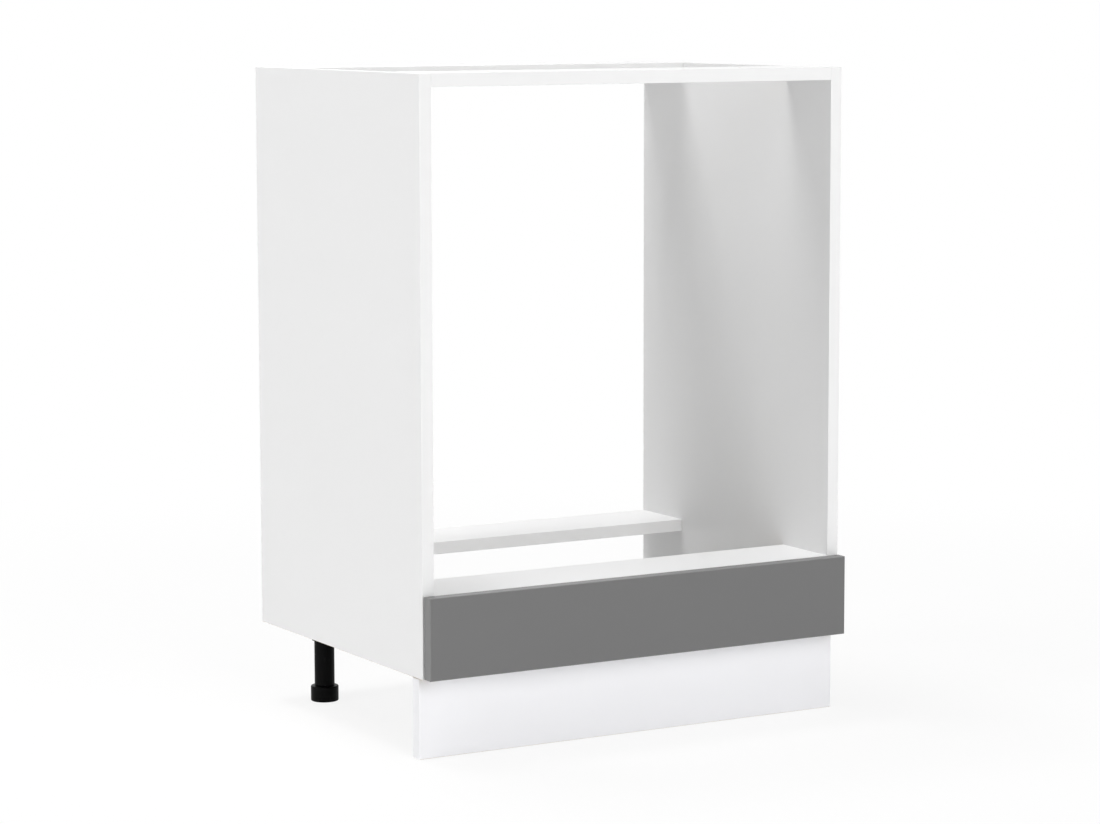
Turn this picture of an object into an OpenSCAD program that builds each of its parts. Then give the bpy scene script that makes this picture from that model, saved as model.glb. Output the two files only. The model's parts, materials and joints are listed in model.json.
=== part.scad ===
// Base cabinet for a built-under oven: an open carcass on four screw feet, with a low
// drawer under the oven niche and a clip-on plinth. Sizes are in millimetres.
// The origin is on the floor, in the middle of the footprint: +X right, +Y rear, +Z up.

/* [Carcass] */
// Width over the two side panels
cab_w = 600; // [500:1:900]
// Depth of the side panels, front to rear
carcass_d = 446; // [420:1:560]
// Height of the side panels
carcass_h = 720; // [715:1:800]
// Thickness of every carcass board
board_t = 16; // [15:0.5:19]
// Thickness of the plastic edging on the board edges that show
band_t = 0.8; // [0.4:0.1:1.2]
// Depth of the two top rails
top_rail_d = 100; // [90:1:140]
// Depth of the two rails that the oven stands on
oven_rail_d = 100; // [90:1:130]
// Radius of the screw holes for the worktop
worktop_hole_r = 2.5; // [2:0.1:4]
// Distance of the worktop holes from the middle of the cabinet
worktop_hole_x = 180; // [120:1:190]

/* [Drawer] */
// Height of the decorative front, whose top is level with the oven rails
front_h = 100; // [88:1:160]
// Thickness of the decorative front
front_t = 16; // [15:0.5:22]
// Gap between the decorative front and the carcass, held by the bumpers
front_gap = 2; // [1.5:0.1:3]
// Reveal at each end of the front
front_reveal_x = 1; // [0.5:0.1:3]
// Reveal between the lower edge of the front and the underside of the carcass
front_reveal_z = 1; // [0:0.1:4]
// Length of the drawer box
box_l = 250; // [220:1:300]
// Height of the drawer box
box_h = 46; // [42:1:54]
// Thickness of the drawer box's sides, sub-front and back
box_t = 12; // [12:0.5:15]
// Thickness of the drawer bottom
bottom_t = 3; // [2.5:0.1:4]
// Depth of the groove that holds the drawer bottom
groove_d = 6; // [4:0.1:7]
// Height of that groove above the underside of the box
groove_z = 7; // [5:0.1:8]
// Radius of the bumpers on the back of the front
bumper_r = 4; // [3:0.1:6]

/* [Runners] */
// Space between the drawer box and the side panel
runner_space = 12.5; // [12.5:0.1:14]
// Thickness of the runner steel
runner_t = 1.2; // [1:0.1:1.4]
// Height of the cabinet member's channel
channel_h = 20; // [20:0.1:21]
// Height of the runners above the bottom panel
runner_lift = 3; // [1:0.1:5]
// Set-back of the cabinet member from the front edge
runner_setback = 2; // [1:0.1:5]
// Width of the cabinet member's upper flange
top_flange_w = 9; // [8.5:0.1:9.5]
// Height of the lip on the cabinet member's lower flange
lip_h = 4; // [3:0.1:5]
// How much shorter the drawer's travel is than its box
travel_loss = 65; // [58:1:100]
// Radius of the roller on the cabinet member
front_roller_r = 9; // [8:0.1:9.5]
// Distance of that roller behind the cabinet member's front end
front_roller_in = 11; // [10.5:0.1:14]
// Distance of the drawer's roller ahead of the box's rear end
rear_roller_in = 9; // [8:0.1:14]
// Height of the drawer member's track above the foot of the channel
track_z = 22.8; // [22.3:0.1:24]
// Radius of the roller axles
axle_r = 2.5; // [2:0.1:3]
// Radius of the axle heads
axle_head_r = 4.4; // [4:0.1:4.8]

/* [Legs] */
// Height of the legs with the feet screwed right in
leg_h = 100; // [95:1:150]
// Distance of the leg axes from the sides
leg_in_x = 59; // [48:1:80]
// Distance of the leg axes from the front and rear edges of the carcass
leg_in_y = 62; // [58:1:80]
// Outside radius of the leg tube
tube_r = 13; // [12:0.1:15]
// Wall of the leg tube
tube_wall = 2.4; // [1.8:0.1:3]
// Radius of the foot
foot_r = 18; // [16:0.1:22]
// Height of the foot's disc
foot_h = 20; // [18:0.5:26]
// Radius of the rounded rims of the foot
foot_rim_r = 1.5; // [1:0.1:3]
// Radius of the foot's screw stem
stem_r = 8; // [6:0.1:9]
// Length of the foot's screw stem past the nut with the foot screwed right out
stem_spare = 8; // [4:1:12]
// Length of the screw nut moulded in the tube's lower end
nut_l = 26; // [20:1:28]
// How far the foot screws out
foot_travel = 20; // [10:1:25]
// Side of the square flange of the leg socket
flange_w = 58; // [54:1:64]
// Thickness of that flange
flange_t = 3; // [2.5:0.1:4]
// Depth of the socket below the flange
socket_h = 17; // [14:0.5:22]
// Wall of the socket
socket_wall = 3; // [2.4:0.1:4]

/* [Plinth] */
// Thickness of the plinth board
plinth_t = 16; // [12:0.5:16]
// Set-back of the plinth's face from the carcass's front edge
plinth_setback = 12; // [4:0.5:16]
// Gap under the plinth, between it and the carcass, and from its ends to the sides' faces
plinth_gap = 1; // [0.5:0.1:3]
// Height of the plinth clips' middle above the floor
clip_z = 56; // [50:1:60]
// Height of the plinth clips
clip_h = 18; // [14:0.5:20]
// Wall of the clip that grips the leg tube
clip_wall = 2.4; // [2:0.1:3]
// Width of the base plates on the plinth's rear face
clip_base_w = 42; // [38:1:50]

/* [Fittings] */
// Radius of the cam locks
cam_r = 7.4; // [6.5:0.1:7.5]
// Distance of the cam axes from the board ends
cam_in = 34; // [24:0.5:34]
// Distance of the cams in the rails from the carcass's front or rear edge
rail_cam_in = 34; // [20:0.5:40]
// Distance of the cams in the bottom panel from the carcass's front or rear edge
panel_cam_in = 112; // [100:1:130]
// Distance between a cam and its dowel
dowel_pitch = 32; // [25:1:35]
// Radius of the dowels
dowel_r = 4; // [3:0.1:4]
// Length of the dowels
dowel_l = 30; // [25:1:35]
// Length of each dowel that stands in the side panel
dowel_in_side = 11; // [8:0.5:11]
// Radius of the cam bolts' threaded ends
bolt_thread_r = 2.5; // [2:0.1:2.8]
// Length of the cam bolts' threaded ends
bolt_thread_l = 10.5; // [8:0.5:11]
// Radius of the wood screws
screw_r = 1.9; // [1.6:0.1:2.1]
// Length of the wood screws in the leg sockets and clip bases
screw_l = 14; // [12:0.5:15]
// Radius of the wood screws' heads
screw_head_r = 3.6; // [3.2:0.1:3.8]

/* [Hidden] */
$fn = 48;

// Running clearances and fits
cut = 1;              // how far a cutting shape runs past the face it cuts
bore_gap = 0.15;      // round a dowel, bolt, cam or screw in its bore
end_gap = 0.5;        // past the end of a dowel, bolt or screw in its bore
run_gap = 0.06;       // round a shaft that turns in its bore
seat_gap = 0.2;       // between faces of moulded pieces that slot together
roll_gap = 0.3;       // between a roller and its track
stop_gap = 0.3;       // between parts that stop each other

// Main planes of the cabinet
overall_d = carcass_d + front_gap + front_t;
front_y = -overall_d / 2;
front_back_y = front_y + front_t;
carcass_y = front_back_y + front_gap;
rear_y = overall_d / 2;
half_w = cab_w / 2;
inner_half_w = half_w - board_t;
top_z = leg_h + carcass_h;
panel_top_z = leg_h + board_t;
front_z = leg_h + front_reveal_z;
front_w = cab_w - 2 * front_reveal_x;
oven_top_z = front_z + front_h;

// Cam rows: [y of the cams, underside of the board, direction from the cam to its dowel]
rail_rows = [for (z = [top_z - board_t, oven_top_z - board_t])
    each [[carcass_y + rail_cam_in, z, 1], [rear_y - rail_cam_in, z, -1]]];
panel_rows = [[carcass_y + panel_cam_in, leg_h, 1], [rear_y - panel_cam_in, leg_h, -1]];
cam_rows = concat(rail_rows, panel_rows);
cam_cap = 4.5;                       // from the bolt's axis to the top of the cam
cam_h = board_t / 2 + cam_cap;
cam_cavity_r = 4.9;                  // hollow in the cam that takes the bolt's head
cam_cross = [9, 1.3, 4];             // each arm of the cam's cross recess
cam_offset = 0.6;                    // how far that hollow stands off the cam's axis
bolt_neck_r = 1.9;
bolt_shank_r = 3;
bolt_head_r = 3.3;
bolt_head_l = 2.4;
bolt_head_x = 0.6;                   // from the cam's axis to the head's end face

// Drawer box, in the runners
box_y = front_back_y;
box_rear_y = box_y + box_l;
box_w = 2 * (inner_half_w - runner_space);
runner_z = panel_top_z + runner_lift;
hem_z = 1.4;                         // underside of the drawer member above the channel's foot
box_z = runner_z + hem_z + runner_t;
front_screw_in = 76;                 // from the box's sides to the screws of the decorative front
front_screw_x = box_w / 2 - front_screw_in;
box_screw_zs = [16, 36];             // all of the box's screws, above its underside
box_screw_l = 2.4 * box_t;
front_screw_cover = 5;               // left of the front's thickness past the screws' tips
front_screw_l = box_t + front_t - front_screw_cover;
runner_screw_cover = 1.5;            // left of the box side's thickness past the screws' tips
bumper_in = 10;                      // from the upper and lower edges of the front

// Runners, in distances from the side panel, the carcass's front edge and the channel's foot
bend_r = 1.2;                        // radius of the bends, at the middle of the steel
side_clear = 0.7;                    // between the two members
channel_w = runner_space - runner_t - side_clear;
head_room = 1.2;                     // for the screw heads behind the rollers
roller_x0 = runner_t + head_room;
roller_x1 = channel_w - runner_t - roll_gap - 0.1;
roller_mid_x = (roller_x0 + roller_x1) / 2;
rear_roller_r = channel_h / 2 - runner_t - roll_gap;
front_roller_y = runner_setback + front_roller_in;
front_roller_z = track_z - roll_gap - front_roller_r;
box_back = box_l - front_gap;        // rear end of the box behind the carcass's front edge
rear_roller_y = box_back - rear_roller_in;
rear_roller_z = channel_h / 2;
travel = box_l - travel_loss;
stop_y = rear_roller_y - travel - rear_roller_r - stop_gap;
axle_head_t = 0.7;
system_pitch = 32;                   // pitch of the holes in the runners
cabinet_screw_in = 35;               // from the ends of the cabinet member to its screws
cabinet_screw_ys = [cabinet_screw_in, box_l - cabinet_screw_in];
slot_w = 4.4;                        // spare slots of the runners
slot_l = 9;
slot_drop = 5;                       // of the drawer member's slots, below its screws
drawer_screw_in = 30;                // from the box's front end to the first screw of its runner
drawer_screw_back = 45;              // from the box's rear end to the last one
drawer_screw_ys = [drawer_screw_in, box_l / 2, box_l - drawer_screw_back];
hem_w = 11;                          // width of the hem under the box's side
track_in = 1.6;                      // from the side panel to the edge of the track
drawer_screw_z = 17;                 // above the channel's foot
flat_head_t = 0.7;                   // thickness of the runner screws' flat heads
wrap_r = bend_r - runner_t / 2 + seat_gap;   // long edges of the box's boards, clear of the bends

// Legs: [x, y] of the four axes
leg_x = half_w - leg_in_x;
leg_front_y = carcass_y + leg_in_y;
leg_rear_y = rear_y - leg_in_y;
socket_z = leg_h - flange_t - socket_h;
tube_z = foot_h + stop_gap;
tube_top_z = leg_h - flange_t - stop_gap;
flange_hole_in = 7;                  // from the flange's edges to its screw holes
flange_hole = flange_w / 2 - flange_hole_in;
stem_l = nut_l + foot_travel + stem_spare;

// Plinth and its clips
plinth_y = carcass_y + plinth_setback;
plinth_back_y = plinth_y + plinth_t;
plinth_h = leg_h - 2 * plinth_gap;
plinth_half_w = half_w - plinth_gap;
clip_base_t = 3;
clip_base_h = 44;
clip_slot_h = 20;                    // T-slot in the base plate, for the clip's tongue
clip_slot_d = 3;
clip_lip_t = 1.8;                    // lips that close the T-slot in
clip_lip_h = 4;
tongue_w = 24;
clip_hole_z = 16;                    // screws of the base plate, above and below its middle

// ---------- shared shapes ----------

// Draws its children, which belong to the right side, on the side asked for
module on_side(right) {
    if (right) children();
    else mirror([1, 0, 0]) children();
}

module both_sides() {
    for (right = [true, false]) on_side(right) children();
}

// Runner frame on the right side: X away from the side panel, Y from the carcass's
// front edge to the rear, Z up from the channel's foot
module at_runner() {
    translate([inner_half_w, carcass_y, runner_z]) mirror([1, 0, 0]) children();
}

// Wood screw along +Z with its countersunk head's face at z = 0 and a cross recess
module countersunk_screw(length) {
    sink = screw_head_r - screw_r;
    difference() {
        union() {
            cylinder(r1 = screw_head_r, r2 = screw_r, h = sink);
            cylinder(r = screw_r, h = length - sink);
            translate([0, 0, length - sink]) cylinder(r1 = screw_r, r2 = 0.4, h = sink);
        }
        for (turn = [0, 90]) rotate([0, 0, turn])
            cube([screw_head_r, 0.9, 2.2], center = true);
    }
}

// Wood screw along +Z with a flat head that stands below z = 0
module flat_head_screw(length, head_t) {
    difference() {
        union() {
            translate([0, 0, -head_t]) cylinder(r1 = screw_head_r - 0.3, r2 = screw_head_r, h = head_t);
            cylinder(r = screw_r, h = length - screw_r);
            translate([0, 0, length - screw_r]) cylinder(r1 = screw_r, r2 = 0.4, h = screw_r);
        }
        for (turn = [0, 90]) rotate([0, 0, turn])
            translate([0, 0, -head_t]) cube([screw_head_r, 0.9, head_t], center = true);
    }
}

// Bore for a screw of that length, from z = 0 along +Z
module screw_bore(length) {
    translate([0, 0, -cut]) cylinder(r = screw_r + bore_gap, h = length + end_gap + cut);
}

// Countersink for a screw head whose face lies at z = 0
module countersink() {
    sink = screw_head_r - screw_r;
    cylinder(r1 = screw_head_r + bore_gap, r2 = screw_r + bore_gap, h = sink);
    translate([0, 0, -cut]) cylinder(r = screw_head_r + bore_gap, h = cut);
}

// ---------- carcass ----------

// Bores of one cam joint and its dowel, in the right end of a horizontal board
module end_bores(row) {
    axis_z = row[1] + board_t / 2;
    translate([inner_half_w - cam_in, row[0], row[1] - cut])
        cylinder(r = cam_r + bore_gap, h = cam_h + cut);
    translate([inner_half_w - cam_in, row[0], axis_z]) rotate([0, 90, 0])
        cylinder(r = bolt_head_r + 0.5, h = cam_in + cut);
    translate([inner_half_w - (dowel_l - dowel_in_side) - end_gap, row[0] + row[2] * dowel_pitch, axis_z])
        rotate([0, 90, 0]) cylinder(r = dowel_r + bore_gap, h = dowel_l);
}

// Bores of one cam joint and its dowel, in the inner face of the right side panel
module face_bores(row) {
    axis_z = row[1] + board_t / 2;
    translate([inner_half_w - cut, row[0], axis_z]) rotate([0, 90, 0])
        cylinder(r = bolt_thread_r + bore_gap, h = cut + bolt_thread_l + end_gap);
    translate([inner_half_w - cut, row[0] + row[2] * dowel_pitch, axis_z]) rotate([0, 90, 0])
        cylinder(r = dowel_r + bore_gap, h = cut + dowel_in_side + end_gap);
}

// Horizontal board between the sides, with its front edge left free for the edging
module cross_board(y, depth, z, rows) {
    difference() {
        translate([-inner_half_w, y + band_t, z]) cube([2 * inner_half_w, depth - band_t, board_t]);
        both_sides() for (row = rows) end_bores(row);
    }
}

module side_panel() {
    difference() {
        translate([inner_half_w, carcass_y + band_t, leg_h])
            cube([board_t, carcass_d - band_t, carcass_h - band_t]);
        for (row = cam_rows) face_bores(row);
        for (y = cabinet_screw_ys) at_runner() translate([runner_t, runner_setback + y, rear_roller_z])
            rotate([0, -90, 0]) screw_bore(screw_l);
    }
}

module bottom_panel() {
    color("white") difference() {
        cross_board(carcass_y, carcass_d, leg_h, panel_rows);
        each_leg() for (x = [-1, 1], y = [-1, 1])
            translate([x * flange_hole, y * flange_hole, leg_h - flange_t]) screw_bore(screw_l);
    }
}

module top_rail(y, row) {
    color("white") difference() {
        cross_board(y, top_rail_d, top_z - board_t, [row]);
        for (x = [-1, 1]) translate([x * worktop_hole_x, y + top_rail_d / 2, top_z - board_t - cut])
            cylinder(r = worktop_hole_r, h = board_t + 2 * cut);
    }
}

module oven_rail(y, row) {
    color("white") cross_board(y, oven_rail_d, oven_top_z - board_t, [row]);
}

// Edging on the front edges of the five boards between the sides
module board_bands() {
    fronts = [
        [carcass_y, leg_h], [carcass_y, oven_top_z - board_t], [carcass_y, top_z - board_t],
        [rear_y - oven_rail_d, oven_top_z - board_t], [rear_y - top_rail_d, top_z - board_t]
    ];
    color("whitesmoke") for (front = fronts)
        translate([-inner_half_w, front[0], front[1]]) cube([2 * inner_half_w, band_t, board_t]);
}

// Edging on the front and top edges of the sides
module side_bands() {
    color("whitesmoke") both_sides() {
        translate([inner_half_w, carcass_y, leg_h]) cube([board_t, band_t, carcass_h]);
        translate([inner_half_w, carcass_y + band_t, top_z - band_t])
            cube([board_t, carcass_d - band_t, band_t]);
    }
}

// ---------- cam fittings ----------

// Cam lock with its axis on Z and its bolt along +X: a drum with an eccentric hollow for the
// bolt's head, a mouth that the head enters by and a slot that the neck slides in
module cam_lock() {
    neck_z = board_t / 2;
    mouth = 130;                     // turn of the cam between the mouth and the bolt
    lead = 25;                       // how far the slot runs past the bolt
    difference() {
        cylinder(r = cam_r, h = cam_h - end_gap);
        translate([cam_offset, 0, neck_z - bolt_head_r - bore_gap])
            cylinder(r = cam_cavity_r, h = 2 * (bolt_head_r + bore_gap));
        rotate([0, 0, -lead]) rotate_extrude(angle = mouth + lead)
            translate([cam_cavity_r / 2, neck_z - bolt_neck_r - bore_gap])
                square([cam_r, 2 * (bolt_neck_r + bore_gap)]);
        rotate([0, 0, mouth]) translate([0, 0, neck_z]) rotate([0, 90, 0])
            cylinder(r = bolt_head_r + bore_gap, h = cam_r + cut);
        for (turn = [0, 90]) rotate([0, 0, turn]) cube(cam_cross, center = true);
    }
}

// Bolt along +X from the cam's axis: head, neck, shank and the threaded end in the side
module cam_bolt() {
    shank_x = cam_r + 0.8;
    tip = 1;
    thread_end = cam_in + bolt_thread_l - tip;
    rotate([0, 90, 0]) {
        translate([0, 0, bolt_head_x]) cylinder(r = bolt_head_r, h = bolt_head_l);
        cylinder(r = bolt_neck_r, h = shank_x);
        translate([0, 0, shank_x]) cylinder(r = bolt_shank_r, h = cam_in - shank_x);
        translate([0, 0, shank_x]) cylinder(r = bolt_thread_r, h = thread_end - shank_x);
        translate([0, 0, thread_end]) cylinder(r1 = bolt_thread_r, r2 = bolt_thread_r / 2, h = tip);
    }
}

module cam_locks() {
    color("silver") both_sides() for (row = cam_rows)
        translate([inner_half_w - cam_in, row[0], row[1]]) cam_lock();
}

module cam_bolts() {
    color("gainsboro") both_sides() for (row = cam_rows)
        translate([inner_half_w - cam_in, row[0], row[1] + board_t / 2]) cam_bolt();
}

module wood_dowels() {
    bevel = 1;
    profile = [
        [0, 0], [dowel_r - bevel, 0], [dowel_r, bevel],
        [dowel_r, dowel_l - bevel], [dowel_r - bevel, dowel_l], [0, dowel_l]
    ];
    color("burlywood") both_sides() for (row = cam_rows)
        translate([inner_half_w + dowel_in_side, row[0] + row[2] * dowel_pitch, row[1] + board_t / 2])
            rotate([0, -90, 0]) rotate_extrude() polygon(profile);
}

// ---------- legs ----------

module at_leg(right, front) {
    translate([right ? leg_x : -leg_x, front ? leg_front_y : leg_rear_y, 0]) children();
}

module each_leg() {
    for (right = [true, false], front = [true, false]) at_leg(right, front) children();
}

// Moulded socket under the bottom panel: a square flange with round corners, a bored boss
// and four gussets towards the corners
module leg_socket() {
    corner_r = 6;
    boss_r = tube_r + run_gap + socket_wall;
    gusset_l = flange_w / 2 - boss_r;
    reach = flange_w / 2 - corner_r;
    color("#1c1c1e") difference() {
        union() {
            translate([0, 0, leg_h - flange_t]) {
                translate([-flange_w / 2, -reach, 0]) cube([flange_w, 2 * reach, flange_t]);
                translate([-reach, -flange_w / 2, 0]) cube([2 * reach, flange_w, flange_t]);
                for (x = [-reach, reach], y = [-reach, reach])
                    translate([x, y, 0]) cylinder(r = corner_r, h = flange_t);
            }
            translate([0, 0, socket_z]) cylinder(r = boss_r, h = socket_h + flange_t);
            for (turn = [0 : 90 : 270]) rotate([0, 0, turn])
                translate([boss_r - 1, 1, leg_h - flange_t]) rotate([90, 0, 0]) linear_extrude(2)
                    polygon([[0, 0.5], [gusset_l, 0.5], [gusset_l, -2], [0, -socket_h + 3]]);
        }
        translate([0, 0, socket_z - cut]) cylinder(r = tube_r + run_gap, h = socket_h + cut);
        for (x = [-1, 1], y = [-1, 1]) translate([x * flange_hole, y * flange_hole, leg_h - flange_t]) {
            screw_bore(screw_l);
            countersink();
        }
    }
}

module socket_screws() {
    color("silver") each_leg() for (x = [-1, 1], y = [-1, 1])
        translate([x * flange_hole, y * flange_hole, leg_h - flange_t]) countersunk_screw(screw_l);
}

// Leg tube, which turns in its socket: its lower end is the nut of the foot's screw
module leg_tube() {
    bevel = 0.8;
    hollow_r = tube_r - tube_wall;
    nut_top = tube_z + nut_l;
    color("#141416") rotate_extrude() polygon([
        [stem_r + run_gap, tube_z], [tube_r - bevel, tube_z], [tube_r, tube_z + bevel],
        [tube_r, tube_top_z - bevel], [tube_r - bevel, tube_top_z],
        [hollow_r, tube_top_z], [hollow_r, nut_top], [stem_r + run_gap, nut_top]
    ]);
}

// Foot: a moulded disc with round rims, hollow and ribbed underneath, and its screw stem
module leg_foot() {
    wall = 2.6;
    hub_r = stem_r;
    roof = foot_h - 4;
    ribs = 6;
    color("#141416") difference() {
        union() {
            rotate_extrude() {
                square([foot_r - foot_rim_r, foot_h]);
                translate([0, foot_rim_r]) square([foot_r, foot_h - 2 * foot_rim_r]);
                for (z = [foot_rim_r, foot_h - foot_rim_r])
                    translate([foot_r - foot_rim_r, z]) circle(r = foot_rim_r);
            }
            cylinder(r = stem_r, h = foot_h + stem_l - 1);
            translate([0, 0, foot_h + stem_l - 1]) cylinder(r1 = stem_r, r2 = stem_r - 1, h = 1);
        }
        difference() {
            translate([0, 0, -cut]) cylinder(r = foot_r - wall - foot_rim_r / 2, h = roof + cut);
            translate([0, 0, -cut]) cylinder(r = hub_r, h = roof + 2 * cut);
            for (i = [0 : ribs - 1]) rotate([0, 0, i * 360 / ribs])
                translate([0, -1, -cut]) cube([foot_r, 2, roof + 2 * cut]);
        }
        translate([0, 0, -cut]) cylinder(r = stem_r - 2.4, h = roof + cut);
    }
}

// ---------- plinth ----------

module plinth_board() {
    color("#ededf0") difference() {
        translate([-plinth_half_w + band_t, plinth_y, plinth_gap])
            cube([2 * (plinth_half_w - band_t), plinth_t, plinth_h - band_t]);
        both_sides() for (z = [-clip_hole_z, clip_hole_z])
            translate([leg_x, plinth_back_y + clip_base_t, clip_z + z]) rotate([90, 0, 0])
                screw_bore(screw_l);
    }
}

// Edging on the plinth's two ends and along its top
module plinth_bands() {
    color("#ededf0") {
        both_sides()
            translate([plinth_half_w - band_t, plinth_y, plinth_gap]) cube([band_t, plinth_t, plinth_h]);
        translate([-plinth_half_w + band_t, plinth_y, plinth_gap + plinth_h - band_t])
            cube([2 * (plinth_half_w - band_t), plinth_t, band_t]);
    }
}

// Base plate on the plinth's rear face, with a T-slot across it for the clip's tongue
module plinth_clip_base() {
    lip_z = clip_slot_h / 2;
    color("#1c1c1e") translate([leg_x, plinth_back_y, clip_z]) difference() {
        union() {
            translate([-clip_base_w / 2, 0, -clip_base_h / 2])
                cube([clip_base_w, clip_base_t, clip_base_h]);
            for (up = [0, 1]) mirror([0, 0, up]) {
                translate([-clip_base_w / 2, clip_base_t, lip_z])
                    cube([clip_base_w, clip_slot_d + clip_lip_t, 2]);
                translate([-clip_base_w / 2, clip_base_t + clip_slot_d, lip_z - clip_lip_h])
                    cube([clip_base_w, clip_lip_t, clip_lip_h]);
            }
        }
        for (z = [-clip_hole_z, clip_hole_z])
            translate([0, clip_base_t, z]) rotate([90, 0, 0]) {
                screw_bore(screw_l);
                countersink();
            }
    }
}

// Clip: a tongue in the base plate's slot, a stem of two arms, and a sprung ring open to
// the rear with a round lip at each end of its mouth
module plinth_clip() {
    ring_r = tube_r + run_gap;
    tongue_y = plinth_back_y + clip_base_t + seat_gap;
    tongue_t = clip_slot_d - 2 * seat_gap;
    tongue_h = clip_slot_h - 2 * seat_gap;
    arm_h = clip_slot_h - 2 * clip_lip_h - 2 * seat_gap;
    arm_x0 = 4.5;
    arm_x1 = 7.5;
    arm_front = tongue_y + tongue_t / 2 - leg_front_y;
    wall_front = sqrt(pow(ring_r + clip_wall, 2) - pow(arm_x1, 2));
    wall_rear = sqrt(pow(ring_r, 2) - pow(arm_x0, 2));
    arm_rear = -(wall_front + wall_rear) / 2;
    mouth = 100;
    lip_r = clip_wall / 2 + seat_gap;
    color("#1c1c1e") {
        translate([leg_x - tongue_w / 2, tongue_y, clip_z - tongue_h / 2])
            cube([tongue_w, tongue_t, tongue_h]);
        translate([leg_x, leg_front_y, clip_z]) {
            for (left = [0, 1]) mirror([left, 0, 0]) translate([arm_x0, arm_front, -arm_h / 2])
                cube([arm_x1 - arm_x0, arm_rear - arm_front, arm_h]);
            translate([0, 0, -clip_h / 2]) {
                rotate([0, 0, 90 + mouth / 2]) rotate_extrude(angle = 360 - mouth)
                    translate([ring_r, 0]) square([clip_wall, clip_h]);
                for (turn = [90 - mouth / 2, 90 + mouth / 2]) rotate([0, 0, turn])
                    translate([ring_r + lip_r, 0, 0]) cylinder(r = lip_r, h = clip_h);
            }
        }
    }
}

module clip_screws() {
    color("silver") both_sides() for (z = [-clip_hole_z, clip_hole_z])
        translate([leg_x, plinth_back_y + clip_base_t, clip_z + z]) rotate([90, 0, 0])
            countersunk_screw(screw_l);
}

// ---------- runners ----------

// Cross-section of a steel strip bent square along a path of points at the middle of the
// steel: straight runs, and a quarter ring at each corner
module bent_strip(path) {
    last = len(path) - 1;
    run = [for (i = [0 : last - 1]) (path[i + 1] - path[i]) / norm(path[i + 1] - path[i])];
    for (i = [0 : last - 1]) {
        start = path[i] + (i > 0 ? bend_r : 0) * run[i];
        end = path[i + 1] - (i < last - 1 ? bend_r : 0) * run[i];
        side = [-run[i][1], run[i][0]] * runner_t / 2;
        polygon([start - side, end - side, end + side, start + side]);
    }
    for (i = [1 : last - 1]) {
        centre = path[i] + bend_r * (run[i] - run[i - 1]);
        reach = bend_r + runner_t;
        intersection() {
            translate(centre) difference() {
                circle(r = bend_r + runner_t / 2);
                circle(r = bend_r - runner_t / 2);
            }
            polygon([
                centre, centre - reach * run[i],
                centre + reach * (run[i - 1] - run[i]), centre + reach * run[i - 1]
            ]);
        }
    }
}

// Draws a bent strip along the runner, between two distances from the carcass's front edge
module runner_strip(path, from, to) {
    translate([0, to, 0]) rotate([90, 0, 0]) linear_extrude(to - from) bent_strip(path);
}

// Slot through a runner's web at x, with its middle at the origin and its length along Y
module web_slot(x) {
    straight = (slot_l - slot_w) / 2;
    translate([x - cut, 0, 0]) rotate([0, 90, 0]) {
        for (y = [-straight, straight]) translate([0, y, 0])
            cylinder(r = slot_w / 2, h = runner_t + 2 * cut);
        translate([-slot_w / 2, -straight, 0]) cube([slot_w, 2 * straight, runner_t + 2 * cut]);
    }
}

// Cabinet member: a rolled C channel with a lip, cut back round its roller, with a stop tab
// pressed down from the upper flange, screw holes and spare slots
module runner_cabinet() {
    mid = runner_t / 2;
    end_y = runner_setback + box_l;
    flange_y = front_roller_y + front_roller_r + 2;
    foot = [[mid, mid], [channel_w - mid, mid], [channel_w - mid, lip_h]];
    head = [[top_flange_w, channel_h - mid], [mid, channel_h - mid]];
    stop_h = channel_h * 0.35;
    color("white") at_runner() difference() {
        union() {
            runner_strip(concat([[mid, channel_h]], foot), runner_setback, flange_y);
            runner_strip(concat(head, foot), flange_y, end_y);
            translate([roller_x0, stop_y - runner_t, channel_h - mid - stop_h])
                cube([top_flange_w - roller_x0, runner_t, stop_h]);
        }
        for (y = cabinet_screw_ys) translate([-cut, runner_setback + y, rear_roller_z])
            rotate([0, 90, 0]) cylinder(r = screw_r + bore_gap, h = runner_t + 2 * cut);
        for (y = [cabinet_screw_in + system_pitch : system_pitch : box_l - cabinet_screw_in - slot_l])
            translate([0, runner_setback + y, rear_roller_z]) web_slot(0);
        translate([-cut, front_roller_y, front_roller_z]) rotate([0, 90, 0])
            cylinder(r = axle_r + bore_gap, h = runner_t + 2 * cut);
    }
}

module runner_cabinet_screws() {
    color("silver") both_sides() at_runner() for (y = cabinet_screw_ys)
        translate([runner_t, runner_setback + y, rear_roller_z]) rotate([0, -90, 0])
            flat_head_screw(screw_l, flat_head_t);
}

// Drawer member, rolled in one: the track that rides on the cabinet's roller, the web on the
// box's side and the hem that the box stands on
module runner_drawer() {
    mid = runner_t / 2;
    web_x = runner_space - runner_t;
    path = [
        [track_in, track_z + mid], [runner_space - mid, track_z + mid],
        [runner_space - mid, hem_z + mid], [runner_space + hem_w, hem_z + mid]
    ];
    color("white") at_runner() difference() {
        runner_strip(path, 0, box_back);
        for (y = drawer_screw_ys) translate([web_x - cut, y - front_gap, drawer_screw_z]) rotate([0, 90, 0])
            cylinder(r = screw_r + bore_gap, h = runner_t + 2 * cut);
        for (y = drawer_screw_ys, step = [-1, 1]) if (y + step * system_pitch < rear_roller_y - slot_l)
            translate([0, y - front_gap + step * system_pitch / 2, drawer_screw_z - slot_drop])
                web_slot(web_x);
        translate([web_x - cut, rear_roller_y, rear_roller_z]) rotate([0, 90, 0])
            cylinder(r = axle_r + bore_gap, h = runner_t + 2 * cut);
    }
}

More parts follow.
